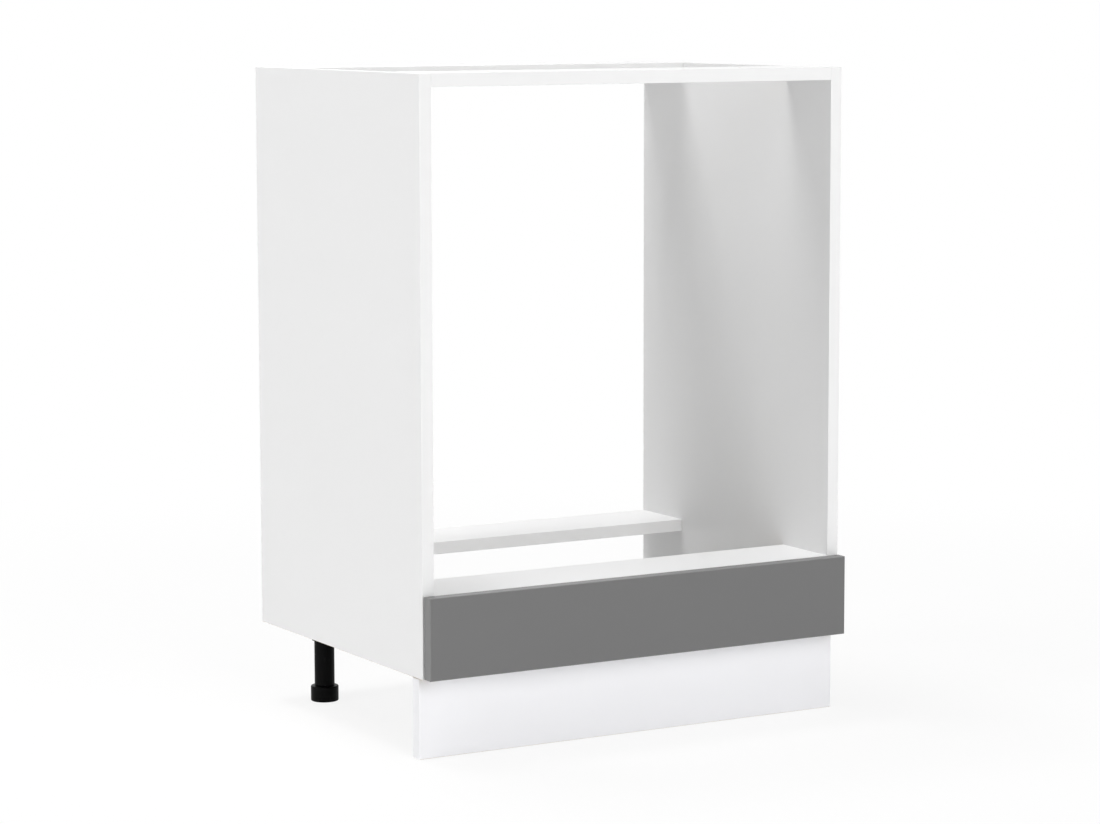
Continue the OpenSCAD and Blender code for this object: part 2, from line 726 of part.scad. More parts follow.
module runner_drawer_screws() {
    web_x = runner_space - runner_t;
    color("silver") both_sides() at_runner() for (y = drawer_screw_ys)
        translate([web_x, y - front_gap, drawer_screw_z]) rotate([0, 90, 0])
            flat_head_screw(box_t - runner_screw_cover + runner_t, flat_head_t);
}

// Roller, turned round X: a crowned rim, a recess for the axle's head, and its bore
module roller(radius, head_at_x1) {
    width = roller_x1 - roller_x0;
    bevel = 0.6;
    recess = axle_head_t + 0.3;
    rotate([0, 90, 0]) translate([0, 0, -width / 2]) mirror([0, 0, head_at_x1 ? 0 : 1])
        translate([0, 0, head_at_x1 ? 0 : -width]) rotate_extrude() polygon([
            [axle_r + run_gap, 0], [radius - bevel, 0], [radius, bevel],
            [radius, width - bevel], [radius - bevel, width], [axle_head_r + 0.4, width],
            [axle_head_r + 0.4, width - recess], [axle_r + run_gap, width - recess]
        ]);
}

module roller_front() {
    color("gainsboro") at_runner() translate([roller_mid_x, front_roller_y, front_roller_z])
        roller(front_roller_r, true);
}

module roller_rear() {
    color("gainsboro") at_runner() translate([roller_mid_x, rear_roller_y, rear_roller_z])
        roller(rear_roller_r, false);
}

// Axle riveted in the cabinet member's web, with a shoulder behind the roller
module cabinet_axles() {
    color("silver") both_sides() at_runner() translate([0, front_roller_y, front_roller_z])
        rotate([0, 90, 0]) {
            cylinder(r = axle_r, h = roller_x1);
            translate([0, 0, runner_t]) cylinder(r = axle_head_r, h = head_room - roll_gap);
            translate([0, 0, roller_x1 - axle_head_t]) cylinder(r = axle_head_r, h = axle_head_t);
        }
}

// Axle riveted in the drawer member's web, with a shoulder between the web and the roller
module drawer_axles() {
    web_x = runner_space - runner_t;
    color("silver") both_sides() at_runner() translate([0, rear_roller_y, rear_roller_z])
        rotate([0, 90, 0]) {
            translate([0, 0, roller_x0]) cylinder(r = axle_r, h = runner_space - roller_x0);
            translate([0, 0, roller_x1 + roll_gap])
                cylinder(r = axle_head_r, h = web_x - roller_x1 - roll_gap);
            translate([0, 0, roller_x0]) cylinder(r = axle_head_r, h = axle_head_t);
        }
}

// ---------- drawer ----------

module drawer_front() {
    color("#797979") difference() {
        translate([-front_w / 2 + band_t, front_y, front_z + band_t])
            cube([front_w - 2 * band_t, front_t, front_h - 2 * band_t]);
        front_screw_places() rotate([90, 0, 0]) screw_bore(front_screw_l);
    }
}

// Edging on the four edges of the front
module front_bands() {
    color("#7f7f7f") {
        for (z = [front_z, front_z + front_h - band_t])
            translate([-front_w / 2, front_y, z]) cube([front_w, front_t, band_t]);
        both_sides() translate([front_w / 2 - band_t, front_y, front_z + band_t])
            cube([band_t, front_t, front_h - 2 * band_t]);
    }
}

// Puts its children at the heads of the four screws that hold the decorative front
module front_screw_places() {
    for (x = [-front_screw_x, front_screw_x], z = box_screw_zs)
        translate([x, box_y + box_t, box_z + z]) children();
}

module front_screws() {
    color("silver") front_screw_places() rotate([90, 0, 0])
        flat_head_screw(front_screw_l, 2);
}

// Puts its children at the heads of the corner screws, on the outer face of the right side
module box_screw_places() {
    for (y = [box_y + box_t / 2, box_rear_y - box_t / 2], z = box_screw_zs)
        translate([box_w / 2, y, box_z + z]) rotate([0, -90, 0]) children();
}

module box_screws() {
    color("silver") both_sides() box_screw_places() countersunk_screw(box_screw_l);
}

// Board of the box along X from the origin, with foil wrapped round its four long edges
module wrapped_board(length) {
    rotate([90, 0, 90]) linear_extrude(length) {
        translate([0, wrap_r]) square([box_t, box_h - 2 * wrap_r]);
        translate([wrap_r, 0]) square([box_t - 2 * wrap_r, box_h]);
        for (y = [wrap_r, box_t - wrap_r], z = [wrap_r, box_h - wrap_r])
            translate([y, z]) circle(r = wrap_r);
    }
}

// Groove for the drawer bottom, all round the inside of the box
module bottom_groove() {
    translate([-box_w / 2 + box_t - groove_d, box_y + box_t - groove_d, box_z + groove_z])
        cube([box_w - 2 * (box_t - groove_d), box_l - 2 * (box_t - groove_d), bottom_t + seat_gap]);
}

module drawer_side() {
    color("white") difference() {
        translate([box_w / 2, box_y, box_z]) rotate([0, 0, 90]) wrapped_board(box_l);
        bottom_groove();
        box_screw_places() {
            screw_bore(box_screw_l);
            countersink();
        }
        at_runner() for (y = drawer_screw_ys) translate([runner_space, y - front_gap, drawer_screw_z])
            rotate([0, 90, 0]) screw_bore(box_t - runner_screw_cover);
    }
}

// Cross piece of the box, between its sides
module box_cross(y) {
    difference() {
        translate([-box_w / 2 + box_t, y, box_z]) wrapped_board(box_w - 2 * box_t);
        bottom_groove();
        both_sides() box_screw_places() screw_bore(box_screw_l);
    }
}

module drawer_subfront() {
    color("white") difference() {
        box_cross(box_y);
        front_screw_places() rotate([90, 0, 0]) screw_bore(box_t);
    }
}

module drawer_back() {
    color("white") box_cross(box_rear_y - box_t);
}

module drawer_bottom() {
    inset = box_t - groove_d + seat_gap;
    color("whitesmoke") translate([-box_w / 2 + inset, box_y + inset, box_z + groove_z])
        cube([box_w - 2 * inset, box_l - 2 * inset, bottom_t]);
}

// Soft bumpers on the back of the front, where it meets the carcass's edges
module bumpers() {
    color("lightgray") both_sides() for (z = [front_z + bumper_in, front_z + front_h - bumper_in])
        translate([half_w - board_t / 2, front_back_y, z]) rotate([-90, 0, 0])
            cylinder(r1 = bumper_r, r2 = bumper_r - 0.6, h = front_gap - seat_gap / 2);
}

// ---------- nodes ----------

color("white") on_side(false) side_panel();  // side_left
color("white") on_side(true) side_panel();  // side_right
bottom_panel();
top_rail(carcass_y, rail_rows[0]);  // top_rail_front
top_rail(rear_y - top_rail_d, rail_rows[1]);  // top_rail_rear
oven_rail(carcass_y, rail_rows[2]);  // oven_rail_front
oven_rail(rear_y - oven_rail_d, rail_rows[3]);  // oven_rail_rear
side_bands();
board_bands();
cam_locks();
cam_bolts();
wood_dowels();
at_leg(false, true) leg_socket();  // leg_socket_front_left
at_leg(true, true) leg_socket();  // leg_socket_front_right
at_leg(false, false) leg_socket();  // leg_socket_rear_left
at_leg(true, false) leg_socket();  // leg_socket_rear_right
socket_screws();
at_leg(false, true) leg_tube();  // leg_tube_front_left
at_leg(true, true) leg_tube();  // leg_tube_front_right
at_leg(false, false) leg_tube();  // leg_tube_rear_left
at_leg(true, false) leg_tube();  // leg_tube_rear_right
at_leg(false, true) leg_foot();  // leg_foot_front_left
at_leg(true, true) leg_foot();  // leg_foot_front_right
at_leg(false, false) leg_foot();  // leg_foot_rear_left
at_leg(true, false) leg_foot();  // leg_foot_rear_right
plinth_board();
plinth_bands();
on_side(false) plinth_clip_base();  // plinth_clip_base_left
on_side(true) plinth_clip_base();  // plinth_clip_base_right
on_side(false) plinth_clip();  // plinth_clip_left
on_side(true) plinth_clip();  // plinth_clip_right
clip_screws();
on_side(false) runner_cabinet();  // runner_cabinet_left
on_side(true) runner_cabinet();  // runner_cabinet_right
runner_cabinet_screws();
cabinet_axles();
on_side(false) roller_front();  // roller_front_left
on_side(true) roller_front();  // roller_front_right
drawer_front();
front_bands();
drawer_subfront();
on_side(false) drawer_side();  // drawer_side_left
on_side(true) drawer_side();  // drawer_side_right
drawer_back();
drawer_bottom();
on_side(false) runner_drawer();  // runner_drawer_left
on_side(true) runner_drawer();  // runner_drawer_right
runner_drawer_screws();
drawer_axles();
on_side(false) roller_rear();  // roller_rear_left
on_side(true) roller_rear();  // roller_rear_right
front_screws();
box_screws();
bumpers();
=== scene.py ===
import json
from math import pi, radians

import bmesh
import bpy
from mathutils import Matrix, Vector

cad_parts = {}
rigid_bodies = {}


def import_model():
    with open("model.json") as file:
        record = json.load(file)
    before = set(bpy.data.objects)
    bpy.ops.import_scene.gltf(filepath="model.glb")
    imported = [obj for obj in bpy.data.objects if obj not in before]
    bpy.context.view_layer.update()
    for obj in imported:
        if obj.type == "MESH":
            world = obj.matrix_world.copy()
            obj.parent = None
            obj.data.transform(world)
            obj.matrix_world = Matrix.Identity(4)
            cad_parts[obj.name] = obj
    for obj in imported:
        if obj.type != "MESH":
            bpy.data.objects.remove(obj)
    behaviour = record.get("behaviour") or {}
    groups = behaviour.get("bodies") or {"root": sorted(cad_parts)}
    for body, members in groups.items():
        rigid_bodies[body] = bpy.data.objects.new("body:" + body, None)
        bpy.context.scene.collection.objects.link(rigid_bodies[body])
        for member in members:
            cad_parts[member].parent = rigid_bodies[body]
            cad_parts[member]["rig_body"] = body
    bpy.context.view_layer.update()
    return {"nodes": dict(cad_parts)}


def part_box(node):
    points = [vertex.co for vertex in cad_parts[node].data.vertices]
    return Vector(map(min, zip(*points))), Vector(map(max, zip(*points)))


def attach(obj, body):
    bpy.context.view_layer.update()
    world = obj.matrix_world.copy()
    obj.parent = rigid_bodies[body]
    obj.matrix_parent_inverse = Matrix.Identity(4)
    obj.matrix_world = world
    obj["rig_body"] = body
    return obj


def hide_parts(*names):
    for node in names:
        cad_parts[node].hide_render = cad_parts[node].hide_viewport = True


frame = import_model()
nodes = frame["nodes"]
scene = bpy.context.scene

# ---------- viewpoint ----------
# The cabinet stands turned a little to its left, seen through a long lens from above the
# height of its top, so that its left side, its front and the inside of its right side show.
eye = Vector((-2.1523, -3.7113, 0.9130))
heading = -0.52555
tilt = -0.1235
roll = -0.00192
lens = bpy.data.cameras.new("lens")
lens.lens = 110.5
lens.sensor_width = 36
camera = bpy.data.objects.new("camera", lens)
camera.matrix_world = (
    Matrix.Translation(eye) @ Matrix.Rotation(heading, 4, "Z")
    @ Matrix.Rotation(pi / 2 + tilt, 4, "X") @ Matrix.Rotation(roll, 4, "Z")
)
scene.collection.objects.link(camera)
scene.camera = camera


# ---------- studio ----------
# A white floor in white surroundings, lit by large soft lamps, as catalogues show furniture.
# The eye, gloss and clear plastic see plain white, and the floor keeps a faint shadow.
class Wire:
    """An output socket of a node tree. Arithmetic on it adds Math nodes to that tree."""

    def __init__(self, tree, socket):
        self.tree = tree
        self.socket = socket

    def math(self, operation, *terms):
        """What a Math node makes of numbers or wires."""
        return self.tree.node("ShaderNodeMath", {"operation": operation}, dict(enumerate(terms)))

    def __add__(self, other):
        return self.math("ADD", self, other)

    __radd__ = __add__

    def __sub__(self, other):
        return self.math("SUBTRACT", self, other)

    def __rsub__(self, other):
        return self.math("SUBTRACT", other, self)

    def __mul__(self, other):
        return self.math("MULTIPLY", self, other)

    __rmul__ = __mul__

    def __truediv__(self, other):
        return self.math("DIVIDE", self, other)

    def __rtruediv__(self, other):
        return self.math("DIVIDE", other, self)

    def __abs__(self):
        return self.math("ABSOLUTE", self)

    def at_least(self, other):
        """The larger of two values."""
        return self.math("MAXIMUM", self, other)


class Tree:
    """A node tree under construction."""

    def __init__(self, tree):
        self.tree = tree
        tree.nodes.clear()

    def node(self, kind, settings=None, inputs=None, out=0):
        """Adds a node: its settings first, then numbers or wires on its sockets. Gives an output."""
        made = self.tree.nodes.new(kind)
        for name, value in (settings or {}).items():
            if name == "stops":
                ramp = made.color_ramp.elements
                while len(ramp) < len(value):
                    ramp.new(1)
                for stop, (position, colour) in zip(ramp, value):
                    stop.position = position
                    stop.color = (*colour, 1)
            else:
                setattr(made, name, value)
        for key, value in (inputs or {}).items():
            if isinstance(value, Wire):
                self.tree.links.new(value.socket, made.inputs[key])
            else:
                made.inputs[key].default_value = value
        return Wire(self, made.outputs[out]) if made.outputs else None

    def between(self, low, high, value, start=0.0, end=1.0):
        """A soft step of a value, from start below low to end above high."""
        return self.node("ShaderNodeMapRange", {"interpolation_type": "SMOOTHSTEP"},
                         {"Value": value, "From Min": low, "From Max": high,
                          "To Min": start, "To Max": end})

    def seen_plainly(self):
        """1 for rays from the eye, from gloss and through clear plastic, and 0 for the rest."""
        kinds = [self.node("ShaderNodeLightPath", out=f"Is {kind} Ray")
                 for kind in ("Camera", "Glossy", "Transmission")]
        return kinds[0].at_least(kinds[1]).at_least(kinds[2])


class Finish(Tree):
    """A material under construction, with the point of the piece that is being shaded."""

    def __init__(self, name):
        self.material = bpy.data.materials.new(name)
        self.material.use_nodes = True
        super().__init__(self.material.node_tree)
        self.place = self.node("ShaderNodeTexCoord", out="Object")

    def noise(self, scale, detail=2.0, roughness=0.5, place=None):
        """Cloudy noise from 0 to 1, with scale cells to the metre."""
        return self.node("ShaderNodeTexNoise", inputs={
            "Vector": place or self.place, "Scale": scale, "Detail": detail, "Roughness": roughness})

    def blend(self, share, first, second):
        """A colour between two others. A Mix node's colour sockets go by number."""
        colour_a, colour_b, mixed = 6, 7, 2
        colours = {key: (*colour, 1) if isinstance(colour, tuple) else colour
                   for key, colour in ((colour_a, first), (colour_b, second))}
        return self.node("ShaderNodeMix", {"data_type": "RGBA"}, {0: share, **colours}, out=mixed)

    def bumps(self, *layers):
        """The normal of a surface with layers of (height from 0 to 1, depth in metres)."""
        normal = None
        for height, depth in layers:
            under = {"Normal": normal} if normal else {}
            normal = self.node("ShaderNodeBump", inputs={"Height": height, "Distance": depth, **under})
        return normal

    def surface(self, inputs):
        """Ends the material in a Principled shader with those inputs."""
        shader = self.node("ShaderNodeBsdfPrincipled", inputs=inputs)
        self.node("ShaderNodeOutputMaterial", inputs={"Surface": shader})
        return self.material


sky_light = 0.12
plain_white = (1, 1, 1, 1)
surroundings = bpy.data.worlds.new("surroundings")
surroundings.use_nodes = True
scene.world = surroundings
sky = Tree(surroundings.node_tree)
sky_lights = sky.node("ShaderNodeBackground", inputs={"Color": plain_white, "Strength": sky_light})
sky_shows = sky.node("ShaderNodeBackground", inputs={"Color": plain_white, "Strength": 1})
sky_mix = sky.node("ShaderNodeMixShader", inputs={0: sky.seen_plainly(), 1: sky_lights, 2: sky_shows})
sky.node("ShaderNodeOutputWorld", inputs={"Surface": sky_mix})


def floor_finish():
    """White paper that shows plain white, with a little of its real light left for shadows."""
    plain_share = 0.86
    plain_from, plain_to = 0.9, 2.0
    paper_tone = (0.9, 0.9, 0.9, 1)
    fibre_depth = 0.00002
    paper = Finish("floor_paper")
    away = paper.node("ShaderNodeVectorMath", {"operation": "LENGTH"}, {0: paper.place}, out="Value")
    plain = paper.between(plain_from, plain_to, away, plain_share, 1.0)
    fibres = paper.bumps((paper.noise(scale=900), fibre_depth))
    lit = paper.node("ShaderNodeBsdfDiffuse", inputs={"Color": paper_tone, "Normal": fibres})
    white = paper.node("ShaderNodeEmission", inputs={"Color": plain_white, "Strength": 1})
    top = paper.node("ShaderNodeMixShader", inputs={0: plain * paper.seen_plainly(), 1: lit, 2: white})
    clear = paper.node("ShaderNodeBsdfTransparent")
    below = paper.node("ShaderNodeNewGeometry", out="Backfacing")
    both = paper.node("ShaderNodeMixShader", inputs={0: below, 1: top, 2: clear})
    paper.node("ShaderNodeOutputMaterial", inputs={"Surface": both})
    return paper.material


floor_reach = 30
floor_drop = 0.0003
floor_mesh = bmesh.new()
bmesh.ops.create_grid(floor_mesh, x_segments=1, y_segments=1, size=floor_reach)
bmesh.ops.translate(floor_mesh, verts=floor_mesh.verts, vec=(0, 0, -floor_drop))
floor = bpy.data.objects.new("studio_floor", bpy.data.meshes.new("studio_floor"))
floor_mesh.to_mesh(floor.data)
floor_mesh.free()
floor.data.materials.append(floor_finish())
scene.collection.objects.link(floor)

# Each square lamp: its place, its side and its power in watts
lit_point = Vector((0, 0, 0.4))
lamps = {
    "front": ((0.3, -6.5, 2.0), 3.0, 154),
    "front_right": ((2.4, -2.8, 1.5), 2.0, 16),
    "left": ((-3.4, 0.0, 1.3), 2.4, 38),
    "right": ((6.0, 0.6, 1.8), 3.0, 72),
    "rear": ((0.4, 3.2, 1.6), 2.4, 12),
    "high_front": ((-1.0, -5.5, 4.2), 2.4, 70),
    "high_left": ((-2.6, 0.2, 4.8), 1.4, 43),
    "high_rear": ((-0.8, 1.6, 6.0), 1.8, 172),
}
for name, (place, side, power) in lamps.items():
    light = bpy.data.lights.new(name, "AREA")
    light.size = side
    light.energy = power
    lamp = bpy.data.objects.new(name, light)
    lamp.location = place
    lamp.rotation_euler = (lit_point - Vector(place)).to_track_quat("-Z", "Y").to_euler()
    lamp.visible_camera = False
    scene.collection.objects.link(lamp)
scene.view_settings.view_transform = "Standard"


# ---------- sides, rails and bottom panel ----------
# Chipboard 16 mm thick, faced with white melamine that has a fine pearl grain. Its sawn and
# drilled faces stay bare: pressed chips, flour-fine under the faces and coarse in the core.
def shaded(tone, share):
    """The same colour, that much lighter or darker."""
    return tuple(channel * share for channel in tone)


def melamine(name, tone, gloss=0.42):
    """A printed and pressed face, a little uneven in tone, with a pearl grain half a mm wide."""
    darkest = 0.985
    pearl_depth = 0.000022
    wave_depth = 0.000020
    face = Finish(name)
    drift = face.noise(scale=6, detail=3)
    speck = face.noise(scale=700, detail=1)
    pearl = face.noise(scale=1300, detail=2)
    wave = face.noise(scale=350, detail=1)
    return face.surface({
        "Base Color": face.blend(drift * 0.6 + speck * 0.4, shaded(tone, darkest), tone),
        "Roughness": gloss + (speck - 0.5) * 0.10 + (drift - 0.5) * 0.04,
        "Specular IOR Level": 0.4,
        "Normal": face.bumps((pearl, pearl_depth), (wave, wave_depth)),
    })


def chipboard(name, node, axis):
    """Bare chipboard. Its chips lie flat, square to the axis of the board's thickness."""
    chips_per_metre = 330.0
    chip_flatness = 3.2
    sways_per_metre = 300.0
    chip_sway = 0.0018
    seam_colour = (0.20, 0.12, 0.06)
    seam_width, slope_width = 0.07, 0.2
    fine_from, fine_to = 0.50, 0.72
    fine_height = 0.8
    chip_depth = 0.00018
    flour_depth = 0.00006
    across = "xyz".index(axis)
    low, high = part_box(node)
    middle = (low[across] + high[across]) / 2
    half = (high[across] - low[across]) / 2
    squeeze = [1.0, 1.0, 1.0]
    squeeze[across] = chip_flatness
    core = Finish(name)
    place = core.node("ShaderNodeSeparateXYZ", inputs={0: core.place}, out=across)
    fine = core.between(half * fine_from, half * fine_to, abs(place - middle))
    laid = core.node("ShaderNodeMapping", inputs={"Vector": core.place, "Scale": squeeze})
    sway = core.node("ShaderNodeTexNoise", inputs={"Vector": laid, "Scale": sways_per_metre}, out="Color")
    swayed = core.node("ShaderNodeVectorMath", {"operation": "MULTIPLY_ADD"}, {
        0: sway, 1: (chip_sway, chip_sway, chip_sway), 2: laid})
    chips = {"Vector": swayed, "Scale": chips_per_metre}
    chip = core.node("ShaderNodeTexVoronoi", inputs=chips, out="Color")
    chip_tone = core.node("ShaderNodeSeparateColor", inputs={0: chip})
    seam = core.node("ShaderNodeTexVoronoi", {"feature": "DISTANCE_TO_EDGE"}, chips)
    flour = core.noise(scale=2600, detail=3, roughness=0.7, place=laid)
    coarse = core.node("ShaderNodeValToRGB", {"stops": [
        (0.0, (0.30, 0.17, 0.08)), (0.35, (0.46, 0.31, 0.17)),
        (0.7, (0.60, 0.43, 0.26)), (1.0, (0.70, 0.54, 0.35))]}, {0: chip_tone})
    seamed = core.blend(core.between(0.0, seam_width, seam), seam_colour, coarse)
    powder = core.node("ShaderNodeValToRGB", {"stops": [
        (0.3, (0.44, 0.31, 0.18)), (0.7, (0.64, 0.49, 0.32))]}, {0: flour})
    height = core.between(0.0, slope_width, seam) * (1 - fine) + fine * fine_height
    return core.surface({
        "Base Color": core.blend(fine, seamed, powder),
        "Roughness": 0.82 - chip_tone * 0.12,
        "Normal": core.bumps((height, chip_depth), (flour, flour_depth)),
    })


# Slack in comparing places: a fine one between points, and one for faces and ends
hair = 1e-6
near = 1e-5
# A face looks along an axis when more than this share of its normal does
square_on = 0.9


def flat_faced(node):
    """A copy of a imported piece, with its loose triangles joined into whole flat faces."""
    flat_within = radians(0.4)
    mesh = bmesh.new()
    mesh.from_mesh(nodes[node].data)
    bmesh.ops.remove_doubles(mesh, verts=mesh.verts, dist=hair)
    bmesh.ops.dissolve_limit(mesh, angle_limit=flat_within, verts=mesh.verts, edges=mesh.edges)
    return mesh


def solids(mesh):
    """The separate solids of a mesh, each as a list of faces."""
    left = set(mesh.faces)
    found = []
    while left:
        reached = [left.pop()]
        solid = []
        while reached:
            face = reached.pop()
            solid.append(face)
            beside = {f for e in face.edges for f in e.link_faces} & left
            left -= beside
            reached.extend(beside)
        found.append(solid)
    return sorted(found, key=lambda faces: tuple(round(c, 5) for c in span(faces)[0]))


def span(faces):
    """The lowest and highest corners of some faces."""
    points = [vertex.co for face in faces for vertex in face.verts]
    return tuple(Vector(pick(p[a] for p in points) for a in range(3)) for pick in (min, max))


def ease(mesh, sides, radius):
    """Rounds the outer edges of each solid's faces on some sides, such as -y or +z."""
    facets = 3
    eased = set()
    for solid in solids(mesh):
        low, high = span(solid)
        for side in sides:
            axis = "xyz".index(side[1])
            plane = high[axis] if side[0] == "+" else low[axis]
            outer = [f for f in solid if all(abs(v.co[axis] - plane) < hair for v in f.verts)]
            for edge in {e for face in outer for e in face.edges}:
                for other in {0, 1, 2} - {axis}:
                    for limit in (low[other], high[other]):
                        if all(abs(v.co[other] - limit) < hair for v in edge.verts):
                            eased.add(edge)
    in_order = [edge for edge in mesh.edges if edge in eased]
    bmesh.ops.bevel(mesh, geom=in_order, offset=radius, offset_type="OFFSET", segments=facets,
                    profile=0.5, affect="EDGES", clamp_overlap=False)


def stand_for(piece, node):
    """Lets a finished piece stand for a packed one, on the same body."""
    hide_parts(node)
    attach(piece, nodes[node]["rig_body"])


def stand_in(mesh, name, node, slot, *finishes):
    """Makes a finished mesh the piece that stands for a packed one."""
    piece = bpy.data.objects.new(name, bpy.data.meshes.new(name))
    mesh.to_mesh(piece.data)
    mesh.free()
    for finish in finishes:
        piece.data.materials.append(finish)
    scene.collection.objects.link(piece)
    stand_for(piece, node)


sawn_edge_radius = 0.00025


def board(node, name, axis, sawn_sides, slot, face_finish):
    """A faced board: its two wide faces in their finish, and its sawn and drilled ones bare."""
    across = "xyz".index(axis)
    low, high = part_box(node)
    mesh = flat_faced(node)
    ease(mesh, sawn_sides, sawn_edge_radius)
    for face in mesh.faces:
        depth = face.calc_center_median()[across]
        outer = min(depth - low[across], high[across] - depth) < near
        faced = outer and abs(face.normal[across]) > square_on
        face.material_index = 0 if faced else 1
    stand_in(mesh, name, node, slot, face_finish, chipboard(f"{name}_core", node, axis))


white = (0.84, 0.84, 0.84)
white_melamine = melamine("white_melamine", white)
for node in ("side_left", "side_right"):
    board(node, f"{node}_board", "x", ("-z", "+y"), "white_board", white_melamine)
for node in ("bottom_panel", "top_rail_front", "top_rail_rear", "oven_rail_front", "oven_rail_rear"):
    board(node, f"{node}_board", "z", ("+y",), "white_board", white_melamine)


# ---------- white edging ----------
# Strips of white ABS plastic 0.8 mm thick, glued on the front edges of all boards and along
# the tops of the sides, with their long edges rounded over by the edging machine.
def edging(name, tone, gloss):
    """Extruded plastic strip with a soft sheen and the faint ripple of its trimming."""
    darkest = 0.985
    ripple_depth = 0.000012
    skin_depth = 0.000004
    strip = Finish(name)
    drift = strip.noise(scale=30, detail=2)
    ripple = strip.noise(scale=140, detail=1)
    skin = strip.noise(scale=1500, detail=2)
    return strip.surface({
        "Base Color": strip.blend(drift, shaded(tone, darkest), tone),
        "Roughness": gloss + (ripple - 0.5) * 0.12,
        "Specular IOR Level": 0.4,
        "Normal": strip.bumps((ripple, ripple_depth), (skin, skin_depth)),
    })


def edge_strips(node, name, sides, slot, finish, radius):
    """Glued strips: only the faces on some sides have rounded edges."""
    mesh = flat_faced(node)
    ease(mesh, sides, radius)
    stand_in(mesh, name, node, slot, finish)


white_edging_gloss = 0.38
white_edging_radius = 0.0005
white_edging = edging("white_edging", white, white_edging_gloss)
edge_strips("board_bands", "board_edging", ("-y",), "white_edging", white_edging, white_edging_radius)
edge_strips("side_bands", "side_edging", ("-y", "+z"), "white_edging", white_edging,
            white_edging_radius)


# ---------- grey front ----------
# The drawer's decorative front: matt grey laminate on a 16 mm board, with grey edging of
# nearly the same tone on its four edges and a crisp small radius all round.
def matt_laminate(name, tone):
    """Matt laminate with a very fine, dry grain that scatters the light."""
    darkest, lightest = 0.95, 1.05
    grain_depth = 0.000024
    wave_depth = 0.000016
    face = Finish(name)
    grain = face.noise(scale=1300, detail=2, roughness=0.6)
    drift = face.noise(scale=5, detail=2)
    wave = face.noise(scale=300, detail=1)
    return face.surface({
        "Base Color": face.blend(grain * 0.7 + drift * 0.3, shaded(tone, darkest), shaded(tone, lightest)),
        "Roughness": 0.52 + (grain - 0.5) * 0.12,
        "Specular IOR Level": 0.35,
        "Normal": face.bumps((grain, grain_depth), (wave, wave_depth)),
    })


grey = (0.156, 0.156, 0.156)
grey_edge = (0.20, 0.20, 0.20)
grey_edging_gloss = 0.45
grey_edging_radius = 0.0006
board("drawer_front", "grey_front_board", "y", (), "grey_board", matt_laminate("grey_laminate", grey))
edge_strips("front_bands", "grey_front_edging", ("-y", "+y"), "grey_edging",
            edging("grey_edging", grey_edge, grey_edging_gloss), grey_edging_radius)


# ---------- plinth ----------
# A white board 16 mm thick that closes the space between the floor and the carcass, edged on
# its ends and along its top. Its lower edge stands a millimetre clear of the floor.
# The plinth's white and its edging's white are the boards' white melamine painted lighter. This painted
# light makes up for the shade the plinth stands in under the front.
plinth_white_painted_lighter = (0.90, 0.90, 0.92)
plinth_edge_painted_lighter = (0.89, 0.89, 0.91)
board("plinth_board", "plinth", "y", ("-z",), "white_board", melamine("plinth_melamine", plinth_white_painted_lighter))
edge_strips("plinth_bands", "plinth_edging", ("-x", "+x", "+z"), "white_edging",
            edging("plinth_edging", plinth_edge_painted_lighter, white_edging_gloss), white_edging_radius)


# ---------- cams, bolts and dowels ----------
# The joints of a flat-pack carcass: die-cast zinc cams let into the boards from below, plated
# steel bolts screwed into the sides, and beech dowels beside them.
def die_cast(name):
    """Grey zinc as it leaves the die: dull, with a grainy skin and darker stains."""
    stained, clean = (0.42, 0.42, 0.43), (0.62, 0.62, 0.63)
    skin_depth = 0.000030
    zinc = Finish(name)
    skin = zinc.noise(scale=1600, detail=3, roughness=0.6)
    stain = zinc.noise(scale=260, detail=3)
    return zinc.surface({
        "Base Color": zinc.blend(stain, stained, clean),
        "Metallic": 0.9,
        "Roughness": 0.42 + stain * 0.18,
        "Normal": zinc.bumps((skin, skin_depth)),
    })


def zinc_plate(name):
    """Bright zinc plating on steel, with the faint bluish clouds of its passivation."""
    bluish, bright = (0.42, 0.44, 0.48), (0.58, 0.58, 0.56)
    skin_depth = 0.000006
    plate = Finish(name)
    cloud = plate.noise(scale=400, detail=3)
    skin = plate.noise(scale=2400, detail=2)
    return plate.surface({
        "Base Color": plate.blend(cloud, bluish, bright),
        "Metallic": 1.0,
        "Roughness": 0.26 + cloud * 0.16,
        "Normal": plate.bumps((skin, skin_depth)),
    })


def beech(name):
    """Turned beech with its grain along X, flecked with short rays."""
    fibre_stretch = 9.0
    grain_depth = 0.00006
    wood = Finish(name)
    along = wood.node("ShaderNodeMapping", inputs={
        "Vector": wood.place, "Scale": (1.0, fibre_stretch, fibre_stretch)})
    grain = wood.noise(scale=160, detail=4, roughness=0.6, place=along)
    fleck = wood.noise(scale=700, detail=1, place=along)
    tint = wood.node("ShaderNodeValToRGB", {"stops": [
        (0.25, (0.42, 0.26, 0.13)), (0.75, (0.66, 0.47, 0.29))]}, {0: grain * 0.8 + fleck * 0.2})
    return wood.surface({
        "Base Color": tint,
        "Roughness": 0.66 - grain * 0.1,
        "Normal": wood.bumps((grain, grain_depth)),
    })


def refinish(node, finish):
    """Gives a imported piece, whose shape is right as it is, its finish."""
    nodes[node].data.materials.clear()
    nodes[node].data.materials.append(finish)


plated_steel = zinc_plate("plated_steel")
refinish("cam_locks", die_cast("die_cast_zinc"))
refinish("cam_bolts", plated_steel)
refinish("wood_dowels", beech("dowel_beech"))


